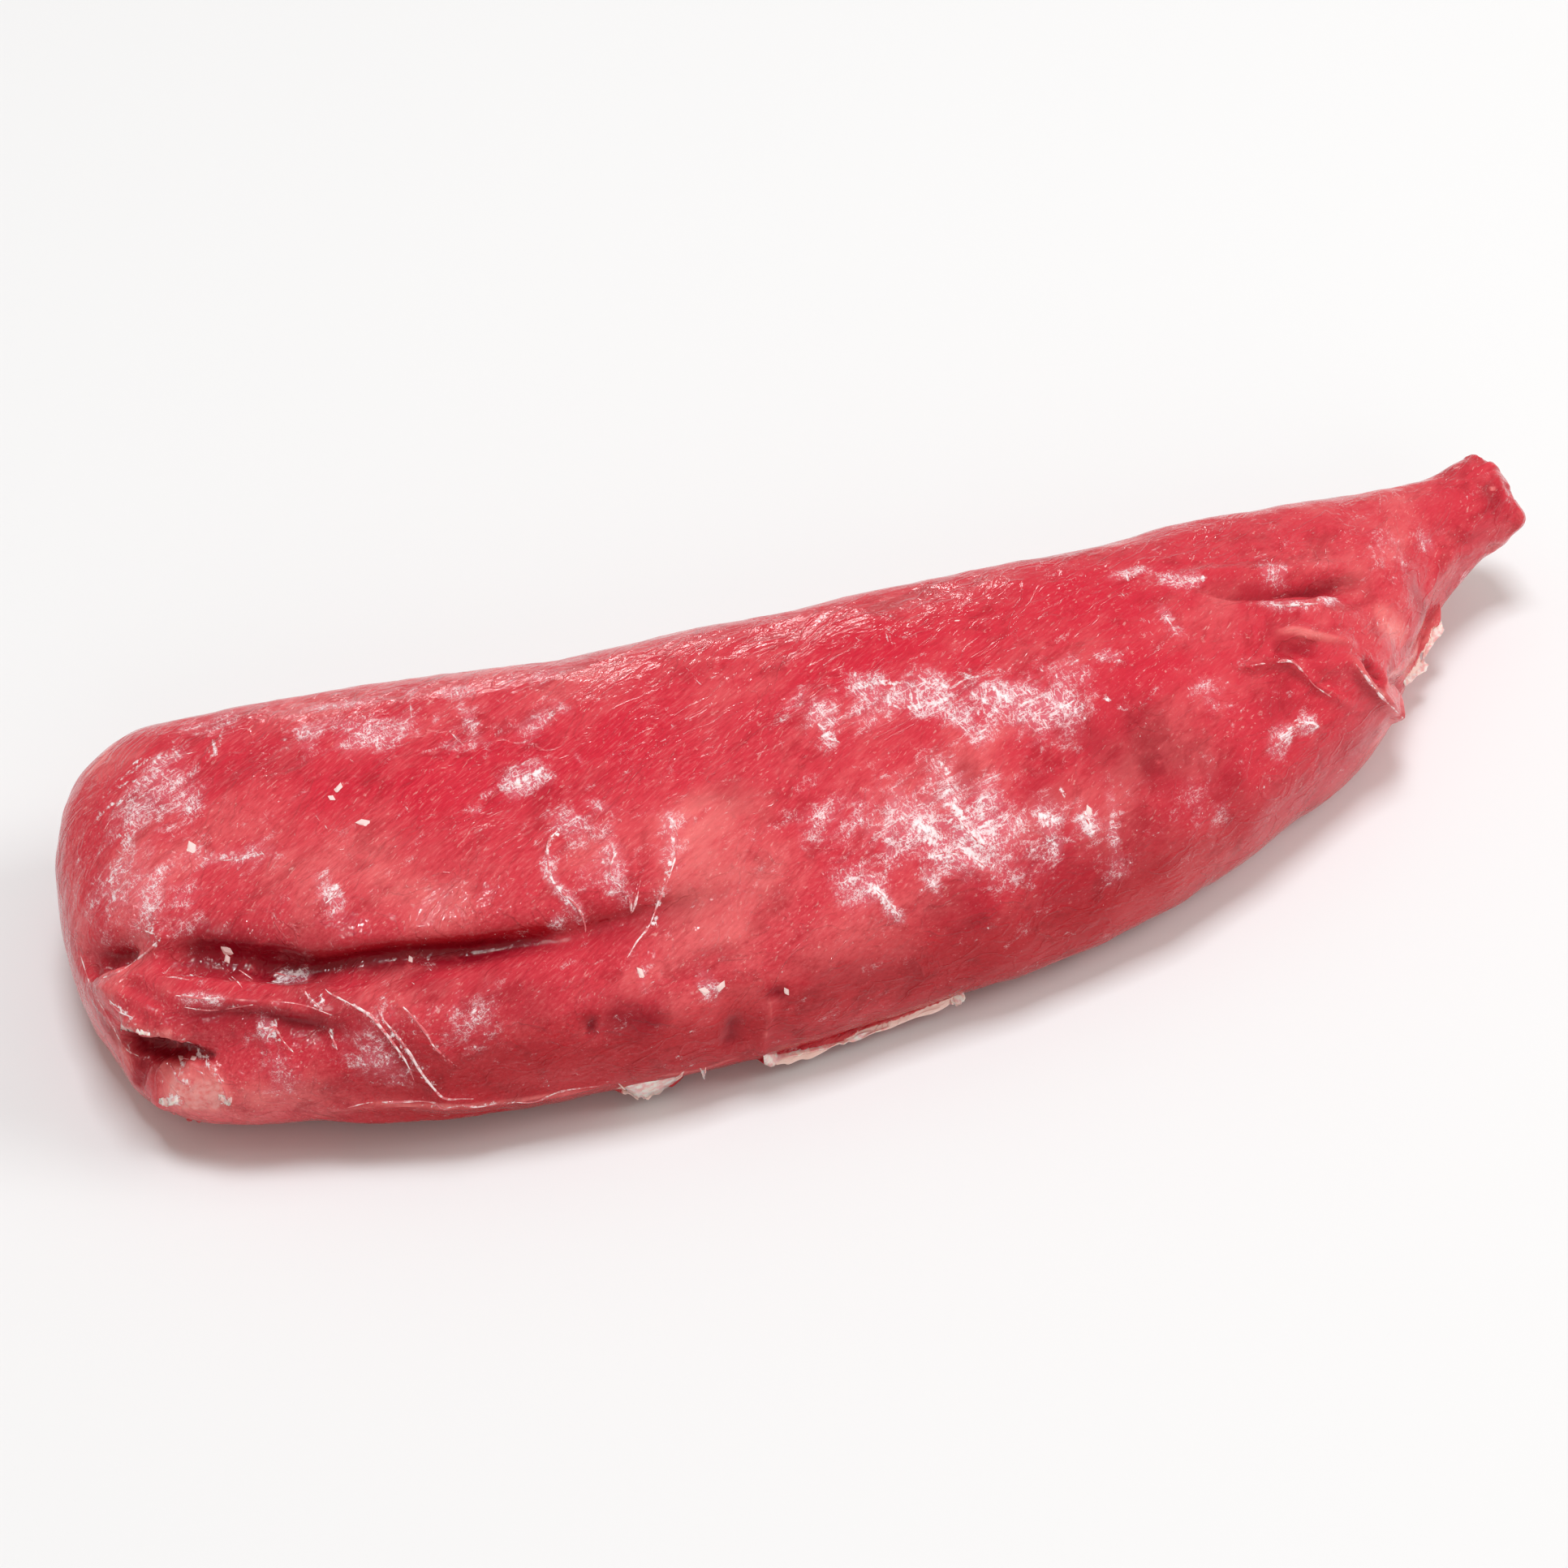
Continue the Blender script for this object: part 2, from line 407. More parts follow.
SCRATCHES = {
    "shoulder arc": (((152, 946), (176, 936), (212, 934)), 0.8, 1.0),
    "shoulder arc two": (((140, 964), (164, 948), (192, 940)), 0.8, 1.0),
    "shoulder arc three": (((124, 984), (152, 966), (180, 960)), 0.8, 1.0),
    "shoulder arc four": (((114, 1016), (128, 996), (160, 984), (184, 980)), 0.8, 1.0),
    "shoulder glint": (((196, 992), (204, 1004)), 1.6, 1.0),
    "shoulder glint two": (((232, 992), (236, 1004)), 1.2, 1.0),
    "shoulder upright": (((208, 948), (212, 980), (220, 992)), 1.2, 0.7),
    "shoulder ring": (((252, 1048), (272, 1056), (300, 1057), (324, 1052), (336, 1040)), 0.9, 0.8),
    "shoulder band": (((258, 945), (266, 915), (284, 892)), 2.4, 0.5),
    "haze glint": (((400, 1108), (412, 1096), (420, 1088)), 1.3, 1.1),
    "shoulder fold": (((208, 1134), (180, 1140), (196, 1156), (192, 1164), (156, 1188),
                       (120, 1204)), 0.7, 1.0),
    "curl glint": (((218, 1203), (236, 1202), (250, 1205)), 0.9, 1.3),
    "curl thread": (((200, 1200), (205, 1197), (208, 1190)), 0.7, 0.9),
    "groove glint": (((334, 1203), (355, 1200), (380, 1199)), 1.4, 1.3),
    "groove glint low": (((318, 1212), (340, 1210), (372, 1206)), 0.9, 0.8),
    "tongue thread": (((203, 1224), (240, 1228), (282, 1231)), 0.8, 1.0),
    "tongue thread low": (((226, 1241), (262, 1245), (312, 1238)), 0.6, 0.7),
    "crumb thread": (((275, 1190), (282, 1206), (292, 1216), (299, 1221)), 0.7, 0.9),
    "end thread": (((132, 1232), (146, 1240), (160, 1254)), 0.8, 1.1),
    "end tuft": (((154, 1260), (168, 1262)), 1.4, 1.1),
    "flap thread": (((168, 1264), (192, 1271), (220, 1276), (232, 1284), (244, 1296), (260, 1312),
                     (272, 1332), (280, 1356)), 0.9, 1.2),
    "lobe thread": (((214, 1300), (220, 1324), (236, 1340), (236, 1348)), 0.8, 1.0),
    "lobe glint": (((218, 1306), (236, 1315)), 1.0, 1.1),
    "lobe tuft": (((204, 1350), (212, 1356), (224, 1352)), 2.0, 1.3),
    "lobe tuft right": (((272, 1352), (281, 1358)), 1.5, 1.1),
    "knot thread": (((316, 1268), (340, 1264), (336, 1276), (348, 1288)), 1.1, 1.1),
    "hook thread": (((368, 1210), (380, 1228), (396, 1244), (394, 1226), (390, 1206)), 0.8, 1.1),
    "crease thread": (((404, 1220), (424, 1232), (456, 1252), (478, 1276), (500, 1310),
                       (510, 1334)), 0.8, 0.75),
    "crease thread two": (((470, 1236), (471, 1254), (489, 1276), (516, 1317), (547, 1352)), 0.8, 1.0),
    "crease thread three": (((479, 1220), (511, 1256), (535, 1290), (571, 1317)), 0.7, 0.9),
    "short thread": (((404, 1264), (412, 1280), (414, 1294)), 0.9, 1.1),
    "loop thread": (((718, 998), (695, 1017), (677, 1035), (675, 1061), (679, 1083), (695, 1102), (710, 1117),
                     (718, 1131), (721, 1150)), 0.8, 1.0),
    "loop thread two": (((751, 1006), (756, 1045), (762, 1094), (778, 1120)), 0.7, 0.8),
    "loop thread three": (((812, 989), (828, 1009), (830, 1035), (823, 1076), (806, 1135),
                           (777, 1179)), 0.8, 1.0),
    "top streak": (((1040, 849), (1087, 839), (1119, 844)), 1.6, 1.0),
    "top hook": (((1077, 865), (1091, 884), (1101, 865)), 0.8, 0.9),
    "top edge": (((1101, 872), (1130, 870), (1161, 865), (1180, 858)), 1.6, 1.1),
    "top upright": (((1152, 825), (1158, 848), (1161, 867)), 1.0, 0.9),
    "top slant": (((1175, 830), (1190, 832), (1203, 837)), 1.2, 0.8),
    "top corner": (((1199, 849), (1210, 860), (1222, 872)), 1.0, 0.9),
    "right slant": (((1213, 839), (1236, 858), (1255, 872)), 1.4, 1.1),
    "right slant two": (((1224, 836), (1248, 852), (1270, 872)), 0.9, 0.9),
    "right dash": (((1301, 867), (1325, 870)), 1.8, 1.0),
    "right speck": (((1360, 856), (1364, 865)), 1.2, 1.0),
    "left foot": (((1012, 886), (1015, 900), (1017, 914)), 1.4, 0.9),
    "left foot low": (((1010, 906), (1035, 914)), 1.2, 0.8),
    "pillar": (((1152, 923), (1166, 950), (1178, 989)), 1.8, 0.7),
    "bar": (((1170, 980), (1186, 1010), (1204, 1034), (1222, 1047)), 2.0, 1.2),
    "bar two": (((1199, 998), (1212, 1008), (1227, 1021)), 1.8, 0.9),
    "bar three": (((1222, 993), (1230, 1008), (1237, 1021)), 1.5, 0.8),
    "upright": (((1208, 976), (1210, 1003)), 1.0, 0.9),
    "block edge": (((1115, 1012), (1138, 1016), (1161, 1035)), 2.2, 1.1),
    "block edge two": (((1120, 1030), (1140, 1036), (1160, 1040)), 1.6, 0.9),
    "block foot": (((1087, 1040), (1096, 1036), (1105, 1031)), 1.6, 0.9),
    "arrow": (((1133, 1063), (1156, 1052), (1180, 1040)), 1.3, 1.0),
    "arrow two": (((1176, 1040), (1200, 1054), (1217, 1073)), 1.6, 1.1),
    "arrow foot": (((1136, 1066), (1144, 1082), (1154, 1098)), 1.0, 1.1),
    "side dash": (((1273, 1003), (1292, 1006), (1311, 1012)), 1.4, 1.0),
    "side dash low": (((1287, 1031), (1306, 1040)), 1.2, 0.9),
    "side short": (((1306, 970), (1311, 984)), 1.0, 0.8),
    "side glint": (((1334, 998), (1341, 1014), (1348, 1035)), 1.9, 1.3),
    "long upright": (((1334, 835), (1335, 870), (1336, 909)), 0.9, 0.6),
    "right upright": (((1371, 984), (1372, 1020), (1374, 1059)), 0.9, 0.7),
    "foot dash": (((1054, 1087), (1087, 1105), (1112, 1138)), 1.3, 1.1),
    "foot dash two": (((1066, 1086), (1084, 1096), (1096, 1108)), 1.3, 0.9),
    "foot dash three": (((1024, 1108), (1050, 1100)), 1.0, 0.7),
    "far upright": (((1091, 769), (1097, 786), (1101, 802)), 1.0, 0.6),
    "tail beads": (((1542, 742), (1578, 746), (1618, 743)), 0.9, 1.0),
    "tail bead end": (((1622, 741), (1636, 740), (1646, 735)), 1.5, 1.3),
    "tail crumple": (((1598, 893), (1612, 890), (1628, 897)), 1.1, 1.1),
    "tail crumple low": (((1570, 924), (1581, 905), (1593, 904)), 1.1, 1.0),
    "tail start": (((1440, 716), (1466, 716), (1490, 711)), 1.1, 1.1),
    "glint": (((614, 976), (632, 968), (650, 957), (668, 949), (680, 942)), 1.6, 1.1),
    "low thread": (((496, 1357), (547, 1364), (600, 1362), (660, 1356)), 0.7, 0.7),
}
SCRAPS = {
    "flag": (((762, 1339), (777, 1346), (790, 1350), (815, 1341), (836, 1327)), 2.0, 1.6),
    "strip": (((940, 1308), (958, 1307), (985, 1304), (1018, 1298), (1040, 1289)), 1.6, 1.6),
    "strip right": (((1040, 1288), (1070, 1279), (1110, 1263), (1165, 1238), (1186, 1230)), 1.5, 1.6),
    "tail fringe": (((1776, 762), (1768, 780), (1757, 806), (1746, 824), (1728, 842)), 1.4, 0.9),
}
BRUISES = {
    "groove bed": (((206, 1168), (262, 1172), (330, 1182), (400, 1188)), 7.0, 1.0),
    "groove slit": (((395, 1188), (500, 1178), (580, 1172), (640, 1164)), 6.0, 1.0),
    "groove bank": (((215, 1150), (300, 1168), (400, 1176), (520, 1166)), 7.0, 0.45),
    "groove far": (((560, 1172), (660, 1160), (720, 1152)), 6.0, 0.5),
    "groove shelf": (((300, 1195), (360, 1190), (420, 1186)), 4.0, 0.5),
    "groove end": (((700, 1156), (760, 1140), (830, 1120), (905, 1100)), 7.0, 0.45),
    "shoulder dent": (((118, 1200), (140, 1180), (165, 1160)), 5.0, 0.5),
    "pocket": (((160, 1278), (200, 1286), (238, 1294)), 4.6, 1.3),
    "pocket slit": (((236, 1292), (252, 1298), (264, 1304)), 2.2, 1.0),
    "pocket side": (((176, 1302), (172, 1325), (169, 1342)), 3.0, 0.6),
    "tongue shade": (((200, 1264), (277, 1248), (335, 1252), (420, 1278)), 4.5, 0.75),
    "end wall": (((112, 1226), (130, 1262), (150, 1292)), 3.4, 0.6),
    "crease bed": (((350, 1212), (420, 1250), (470, 1262)), 7.0, 0.4),
    "crease foot": (((470, 1262), (500, 1310), (512, 1340)), 5.0, 0.45),
    "roll side": (((540, 1200), (520, 1240)), 8.0, 0.3),
    "flank": (((736, 1252), (780, 1254), (830, 1262)), 6.0, 0.85),
    "flank pit": (((722, 1264), (736, 1265)), 3.0, 1.3),
    "front slot": (((903, 1250), (900, 1290)), 3.0, 0.75),
    "front stripe": (((940, 1222), (958, 1223), (972, 1230)), 2.4, 1.0),
    "right shade": (((1330, 950), (1420, 930), (1500, 940)), 12.0, 0.4),
    "right shade low": (((1250, 970), (1320, 990)), 10.0, 0.3),
    "right edge": (((1480, 970), (1540, 960)), 10.0, 0.35),
    "tail groove": (((1480, 722), (1600, 731), (1690, 716)), 4.0, 0.5),
    "tail facet": (((1736, 706), (1748, 740), (1748, 786)), 6.0, 0.5),
    "tail pocket": (((1677, 811), (1692, 826)), 3.0, 0.8),
    "tail fold shade": (((1690, 838), (1712, 860)), 3.0, 0.5),
    "tail under fold": (((1565, 800), (1600, 800), (1625, 806)), 4.0, 0.45),
    "tip": (((1824, 596), (1836, 612), (1848, 630)), 5.5, 0.6),
    "tail middle": (((1540, 870), (1600, 860)), 7.0, 0.3),
    "tail low": (((1640, 930), (1700, 900)), 7.0, 0.3),
    "shoulder shade": (((175, 985), (205, 1010)), 6.0, 0.35),
    "centre shade": (((880, 960), (930, 1000)), 8.0, 0.3),
    "hatch shade": (((1290, 905), (1360, 890)), 10.0, 0.3),
    "pillar shade": (((1186, 930), (1196, 985)), 4.0, 0.35),
    "belly shade": (((1240, 1100), (1380, 1050), (1480, 1000)), 12.0, 0.45),
    "belly shade left": (((1120, 1120), (1180, 1120), (1240, 1105)), 10.0, 0.4),
    "upper right shade": (((1380, 900), (1440, 880)), 9.0, 0.4),
    "right dark": (((1400, 950), (1440, 945)), 7.0, 0.4),
    "roll shade": (((560, 1225), (640, 1235), (700, 1240)), 10.0, 0.35),
    "low flank shade": (((960, 1210), (1060, 1200), (1150, 1180)), 9.0, 0.3),
    "upper left shade": (((300, 930), (380, 950)), 9.0, 0.2),
    "glint shade": (((640, 985), (690, 965)), 6.0, 0.25),
}
PALE = {
    "end wall": (((112, 1215), (140, 1270), (170, 1335)), 4.0, 0.6),
    "lobe": (((190, 1325), (240, 1330), (290, 1345)), 8.0, 0.8),
    "lobe foot": (((205, 1352), (280, 1358)), 4.0, 0.8),
    "lobe right": (((290, 1345), (360, 1355), (420, 1345)), 7.0, 0.5),
    "low edge": (((390, 1372), (465, 1359), (547, 1363), (622, 1358), (700, 1347), (790, 1328)), 1.3, 0.8),
    "low edge middle": (((790, 1328), (864, 1318), (937, 1298)), 1.4, 0.8),
    "low edge right": (((945, 1302), (1052, 1276), (1180, 1234), (1300, 1185), (1440, 1125)), 1.6, 0.8),
    "front rib": (((950, 1230), (940, 1285)), 1.2, 0.7),
    "left field": (((250, 1060), (420, 1040), (560, 1050)), 24.0, 0.45),
    "left field low": (((420, 1100), (640, 1110)), 12.0, 0.4),
    "shoulder side": (((85, 1060), (100, 1150), (112, 1205)), 6.0, 0.5),
    "flap edge": (((168, 1272), (207, 1275), (234, 1286)), 0.9, 1.0),
    "flap tip": (((150, 1262), (166, 1264)), 2.0, 1.2),
    "flank field": (((840, 1150), (940, 1170)), 12.0, 0.25),
    "centre field": (((790, 1060), (900, 1080), (1000, 1090)), 30.0, 0.55),
    "shoulder film": (((96, 962), (112, 950), (126, 936), (142, 914), (156, 902)), 2.2, 0.9),
    "upper field": (((700, 1060), (900, 980), (1000, 960)), 16.0, 0.4),
    "tail field": (((1682, 740), (1710, 770), (1736, 796)), 6.0, 0.55),
    "tail soft ridge": (((1555, 783), (1591, 778), (1634, 786), (1674, 796)), 2.4, 0.7),
    "tail top": (((1700, 650), (1740, 680)), 12.0, 0.5),
    "tail side": (((1640, 760), (1700, 790), (1740, 720)), 12.0, 0.4),
    "tail rim": (((1702, 851), (1717, 829), (1742, 808), (1758, 788), (1780, 760)), 1.7, 1.1),
    "tail edge": (((1780, 760), (1806, 727), (1829, 690), (1856, 657)), 2.0, 0.6),
    "tail fold edge": (((1664, 811), (1682, 834), (1702, 854), (1722, 884)), 1.3, 0.8),
    "tip spot": (((1838, 598), (1840, 606)), 1.6, 1.0),
    "tail foot": (((1540, 1035), (1600, 1010), (1700, 930)), 4.0, 0.4),
}
DEEP = {
    "upper left": (((200, 930), (420, 960), (650, 920), (900, 860)), 26.0, 0.9),
    "back": (((900, 860), (1200, 760), (1500, 680)), 30.0, 1.0),
    "left middle": (((470, 980), (620, 950)), 16.0, 0.7),
    "right": (((1350, 830), (1560, 800)), 22.0, 0.6),
    "centre": (((780, 960), (900, 980), (1000, 1020)), 20.0, 0.6),
    "tail": (((1540, 690), (1660, 730), (1640, 860)), 20.0, 0.1),
}


MARK_TAPER = 0.4  # share of a mark's length over which its ends fade
FROST_WIDER = 1.4  # frost lies this much wider than its named spread
FROST_MOST, FROST_RATE = 0.56, 1.1  # how strong frost becomes, and how soon
HEAP_GAIN, HEAP_START = 0.10, 1.5  # how it grows further where marks add up, and from where


def spread_of(table, wider=1.0):
    """How strongly the marks of one table cover each point of the flesh."""
    return sum(
        strength * band(places, pixels, spread * wider, MARK_TAPER)
        for pixels, spread, strength in table.values()
    )


def ramp(values, start, end):
    """0 at the start value and 1 at the end value, smooth between."""
    return soft_step((values - start) / (end - start))


frosted = spread_of(FROST, FROST_WIDER)
heaped = HEAP_GAIN * np.maximum(frosted - HEAP_START, 0)
mark("frost", FROST_MOST * (1 - np.exp(-FROST_RATE * frosted)) + heaped)
mark("scratch", spread_of(SCRATCHES))
mark("scrap", spread_of(SCRAPS))
mark("deep", spread_of(DEEP))
# Hollows some millimetres deep darken like bruises, and crests show pale.
mark("bruise", spread_of(BRUISES) + ramp(hollow, 0.5, 3.5) * 0.7)
mark("pale", spread_of(PALE) + ramp(-hollow, 0.6, 2.6) * 0.4)
# The front flank between the shoulder and the tail, steep and low, is darker than the top.
steep_front = ramp(facings[:, 2], 0.75, 0.05) * ramp(places[:, 1], 0.02, -0.01)
between_ends = ramp(places[:, 0], -0.235, -0.185) * ramp(places[:, 0], 0.18, 0.06)
mark("flank", steep_front * between_ends)

# The underside, which was cut off above, is one flat cut that lies on the surface below.
bpy.ops.object.mode_set(mode="EDIT")
bpy.ops.mesh.select_mode(type="EDGE")
bpy.ops.mesh.select_all(action="DESELECT")
bpy.ops.mesh.select_non_manifold()
bpy.ops.mesh.edge_face_add()
bpy.ops.object.mode_set(mode="OBJECT")

MIX_AMOUNT, MIX_UNDER, MIX_OVER, MIX_RESULT = 0, 6, 7, 2  # places of the colour sockets of a mix


def new_material(name):
    material = bpy.data.materials.new(name)
    material.use_nodes = True
    return material


def surface_places(tree):
    """Where each point of the surface is, in metres on the piece itself."""
    return tree.nodes.new("ShaderNodeTexCoord").outputs["Object"]


def input_of(node, name):
    """Input of a node by its name, with underscores for spaces, or by its number, as in i0."""
    if name[0] == "i" and name[1:].isdigit():
        return node.inputs[int(name[1:])]
    return node.inputs[name.replace("_", " ")]


def feed(tree, value, target):
    """Join a value from another node to an input, or set the input to it."""
    if isinstance(value, bpy.types.NodeSocket):
        tree.links.new(value, target)
    elif target.type == "RGBA" and isinstance(value, tuple):
        target.default_value = (*value, 1)
    else:
        target.default_value = value


def put(tree, kind, settings=None, **inputs):
    """Add a node, set its own settings, and join or set each named input."""
    made = tree.nodes.new(kind)
    for name, value in (settings or {}).items():
        setattr(made, name, value)
    for name, value in inputs.items():
        feed(tree, value, input_of(made, name))
    return made.outputs[0]


def finish_of(material, **inputs):
    """Join or set each named input of the material's own shader."""
    for name, value in inputs.items():
        feed(material.node_tree, value, input_of(material.node_tree.nodes["Principled BSDF"], name))


def wear(piece, material):
    piece.data.materials.clear()
    piece.data.materials.append(material)


def math_node(tree, operation, a, b=0.0, c=0.0, clamp=False):
    return put(tree, "ShaderNodeMath", {"operation": operation, "use_clamp": clamp}, i0=a, i1=b, i2=c)


def blend_node(tree, amount, under, over, way="MIX"):
    """One colour laid over another by this amount."""
    made = tree.nodes.new("ShaderNodeMix")
    made.data_type = "RGBA"
    made.blend_type = way
    feed(tree, amount, made.inputs[MIX_AMOUNT])
    feed(tree, under, made.inputs[MIX_UNDER])
    feed(tree, over, made.inputs[MIX_OVER])
    return made.outputs[MIX_RESULT]


def window(tree, value, low, high):
    """0 below low, 1 above high, smooth between."""
    return put(
        tree, "ShaderNodeMapRange", {"interpolation_type": "SMOOTHSTEP"},
        Value=value, From_Min=low, From_Max=high, To_Min=0.0, To_Max=1.0,
    )


def grain(tree, where, size, turn=0.0, stretch=1.0, detail=3.0, rough=0.55, warp=0.0):
    """Noise with features of this size in mm, drawn out along a direction in the plan of the loin."""
    fine = 1.0 / (size * MM)
    across = (1.0 / (size * MM * stretch), fine, fine)
    point = {"vector_type": "POINT"}
    turned = put(tree, "ShaderNodeMapping", point, Vector=where, Rotation=(0, 0, -math.radians(turn)))
    sized = put(tree, "ShaderNodeMapping", point, Vector=turned, Scale=across)
    return put(
        tree, "ShaderNodeTexNoise", None,
        Vector=sized, Scale=1.0, Detail=detail, Roughness=rough, Distortion=warp,
    )


meat = new_material("tuna_flesh")
tree = meat.node_tree
where = surface_places(tree)
marks = {}
for name in ("frost", "scratch", "scrap", "bruise", "pale", "deep", "flank"):
    reader = tree.nodes.new("ShaderNodeAttribute")
    reader.attribute_name = name
    marks[name] = reader.outputs["Fac"]

DEEP_RED = (0.60, 0.012, 0.036)
MUSCLE_RED = (0.60, 0.034, 0.054)
SALMON = (0.70, 0.105, 0.115)
CLOT_RED = (0.30, 0.004, 0.012)
MAROON = (0.20, 0.001, 0.008)
FLANK_SHADE = (0.70, 0.16, 0.22)
LINEN = (0.90, 0.54, 0.49)
FAT_FLECK = (0.78, 0.24, 0.24)
RIME = (0.98, 0.85, 0.86)
VEIL = (0.85, 0.34, 0.42)
CREAM = (0.98, 0.74, 0.66)
PALE_FLESH = (0.86, 0.22, 0.21)
PATTERNS = {  # size in mm, turn in degrees, stretch, detail, roughness, warp, and where it starts and is full
    "salmon": (34, 30, 1.7, 5, 0.6, 0.0, 0.45, 0.66),
    "clot": (12, 30, 1.9, 7, 0.68, 0.6, 0.50, 0.66),
    "cloud": (8, 30, 2.2, 6, 0.66, 0.5, 0.52, 0.70),
    "dash": (0.8, 42, 5, 1, 0.5, 0.1, 0.66, 0.74),
    "patchy": (12, 0, 1, 4, 0.55, 0.0, 0.38, 0.62),
    "fleck": (1.6, 20, 1.6, 3, 0.6, 0.1, 0.63, 0.72),
    "bruise": (3.5, 20, 2, 6, 0.65, 0.0, 0.12, 0.5),
    "fatty": (4, 20, 3, 4, 0.55, 0.0, 0.2, 0.6),
    "pale": (1.6, 0, 2, 4, 0.55, 0.0, 0.3, 0.6),
    "turning": (16, 0, 1, 2, 0.55, 0.0, 0.46, 0.54),
    "crossing": (11, 40, 1, 2, 0.55, 0.0, 0.50, 0.58),
}
STREAKS = ((17, 9), (76, 8), (104, 9))  # turn and stretch of the fine frost scratches that cross
STROKES = (  # size, turn, stretch and thickness of the longer ones
    (5.0, 17, 3.2, 0.016),
    (4.0, 76, 2.8, 0.015),
    (3.5, 104, 2.6, 0.014),
)


def times(a, b):
    return math_node(tree, "MULTIPLY", a, b)


def plus(a, b):
    return math_node(tree, "ADD", a, b)


def most(a, b):
    return math_node(tree, "MAXIMUM", a, b)


def scaled(value, by, start):
    return math_node(tree, "MULTIPLY_ADD", value, by, start)


def swayed(value, field, by):
    """A value raised and lowered by a noise around its middle."""
    return plus(value, times(plus(field, -0.5), by))


def pattern(name):
    *kind, low, high = PATTERNS[name]
    return window(tree, grain(tree, where, *kind), low, high)


def tint(colour, amount, strength, over, way="MIX"):
    """The colour so far with another laid over it, at this strength where the amount is full."""
    return blend_node(tree, times(amount, strength), colour, over, way)


def strokes(size, turn, stretch, thick):
    """Long thin wavering lines that run one way, where a noise passes through its middle value."""
    field = grain(tree, where, size, turn, stretch, 4, 0.6, 0.2)
    return window(tree, math_node(tree, "ABSOLUTE", plus(field, -0.5)), thick, thick * 0.3)


# Broad patches of salmon and deep red, with smaller blood-dark mottling over them.
salmon_here = math_node(tree, "ADD", pattern("salmon"), times(marks["pale"], 0.8), clamp=True)
colour = blend_node(tree, salmon_here, MUSCLE_RED, SALMON)
colour = tint(colour, marks["deep"], 0.85, DEEP_RED)
colour = tint(colour, pattern("clot"), 0.42, CLOT_RED)
colour = tint(colour, pattern("cloud"), 0.30, SALMON)
# Muscle fibres: fine streaks, paler and darker, that all run one way and are longest at the left.
fibre = grain(tree, where, 0.9, 30, 6, 4, 0.62, 0.15)
along_loin = put(tree, "ShaderNodeSeparateXYZ", None, Vector=where)
fibrous = scaled(window(tree, along_loin, 0.12, -0.12), 0.16, 0.12)
colour = tint(colour, window(tree, fibre, 0.52, 0.70), fibrous, FAT_FLECK)
colour = tint(colour, window(tree, fibre, 0.50, 0.34), fibrous, CLOT_RED)
# Pale dashes and flecks of fat, scattered in loose patches.
patchy = pattern("patchy")
colour = tint(colour, pattern("dash"), scaled(patchy, 0.30, 0.03), LINEN)
colour = tint(colour, pattern("fleck"), scaled(patchy, 0.38, 0.02), LINEN)
colour = tint(colour, marks["flank"], 0.9, FLANK_SHADE, "MULTIPLY")
# Bruised and shaded folds, then pale flesh and its paler edges.
colour = tint(colour, times(marks["bruise"], pattern("bruise")), 0.92, MAROON)
colour = tint(colour, times(window(tree, marks["pale"], 0.35, 0.95), pattern("fatty")), 0.75, PALE_FLESH)
colour = tint(colour, times(window(tree, marks["pale"], 0.85, 1.1), pattern("pale")), 0.6, LINEN)
# Frost: a thin pink veil, then fine strokes of white that cross each other, a spatter of crystals, and
# solid white only where the ice is thickest.
shred = grain(tree, where, 6, 20, 1.8, 8, 0.74, 0.3)
spatter = grain(tree, where, 1.8, 0, 1, 6, 0.8)
scratch, hatch, slash = (grain(tree, where, 1.1, turn, long, 3, 0.6, 0.15) for turn, long in STREAKS)
streak = plus(scratch, times(pattern("turning"), math_node(tree, "SUBTRACT", hatch, scratch)))
streak = plus(streak, times(pattern("crossing"), math_node(tree, "SUBTRACT", slash, streak)))
torn = swayed(marks["frost"], shred, 1.7)
veil = window(tree, swayed(marks["frost"], shred, 0.9), 0.04, 0.70)
colour = tint(colour, veil, 0.5, VEIL)
first, second, third = (strokes(*row) for row in STROKES)
lines = times(most(most(first, second), third), window(tree, torn, 0.12, 0.50))
frost = window(tree, swayed(swayed(torn, streak, 2.3), spatter, 1.2), 0.46, 0.90)
frost = most(times(frost, 0.90), times(lines, 0.80))
scored = window(tree, swayed(swayed(marks["scratch"], streak, 2.4), spatter, 3.2), 0.45, 1.05)
scored = times(scored, window(tree, marks["scratch"], 0.08, 0.40))
frost = most(frost, times(scored, 0.95))
colour = blend_node(tree, frost, colour, RIME)
scrap = window(tree, swayed(marks["scrap"], spatter, 1.5), 0.35, 0.6)
colour = tint(colour, scrap, 0.9, CREAM)

# The glaze and its film: ripples, sharp little pleats and, under frost, fine scratches.
ripple = grain(tree, where, 16, 20, 1.8, 4, 0.55, 0.4)
crinkle = grain(tree, where, 3.0, 35, 1.8, 3, 0.6, 0.6)
folds = grain(tree, where, 12, 35, 2.2, 3, 0.5, 1.0)
pleat = window(tree, math_node(tree, "ABSOLUTE", plus(folds, -0.5)), 0.05, 0.0)
relief = plus(times(ripple, 1.1), times(crinkle, 0.16))
relief = plus(relief, times(pleat, 0.12))
relief = plus(relief, times(times(streak, frost), 0.10))
glazed = put(tree, "ShaderNodeBump", None, Strength=0.9, Distance=0.0016, Height=relief)
uneven = scaled(grain(tree, where, 9, 0, 1, 4), 0.35, 0.06)
finish_of(meat, Base_Color=colour, Roughness=scaled(frost, 0.2, uneven), Normal=glazed, Coat_Normal=glazed)
